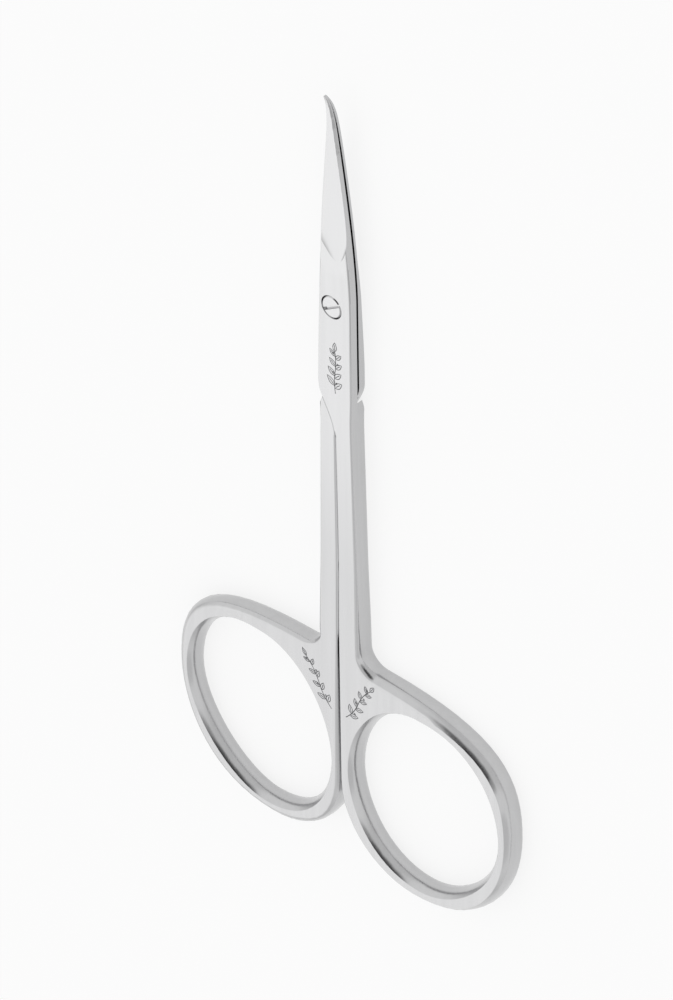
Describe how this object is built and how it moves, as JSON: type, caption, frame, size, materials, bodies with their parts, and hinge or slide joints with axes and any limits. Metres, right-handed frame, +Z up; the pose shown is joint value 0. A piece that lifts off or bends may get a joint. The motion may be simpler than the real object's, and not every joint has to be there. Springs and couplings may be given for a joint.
{
  "type": "cuticle scissors",
  "caption": "Slim steel cuticle scissors with fine tips that curve upward, a half-lap pivot on a slotted screw and oval finger rings.",
  "frame": {"origin": "middle of the underside of the closed scissors, where the rings lie on the table", "axes": "+Y runs along the closed scissors to the tips, +X to the ring of the front half, +Z up, the way the tips curve"},
  "size_m": [0.0536, 0.112, 0.0036],
  "materials": {
    "satin_steel": "fine satin, brushed lengthwise",
    "satin_steel_rear": "fine satin, brushed lengthwise",
    "bright_steel": "bright turned steel"
  },
  "bodies": {
    "rear": {"rear_half": "satin_steel_rear", "pivot_screw": "bright_steel"},
    "front": {"front_half": "satin_steel"}
  },
  "joints": [
    {"name": "pivot", "type": "hinge", "parent": "rear", "child": "front", "pos_m": [-0.00025, 0.02665, 0.00145], "axis": [0, 0, 1], "range_deg": [0, 80]}
  ]
}
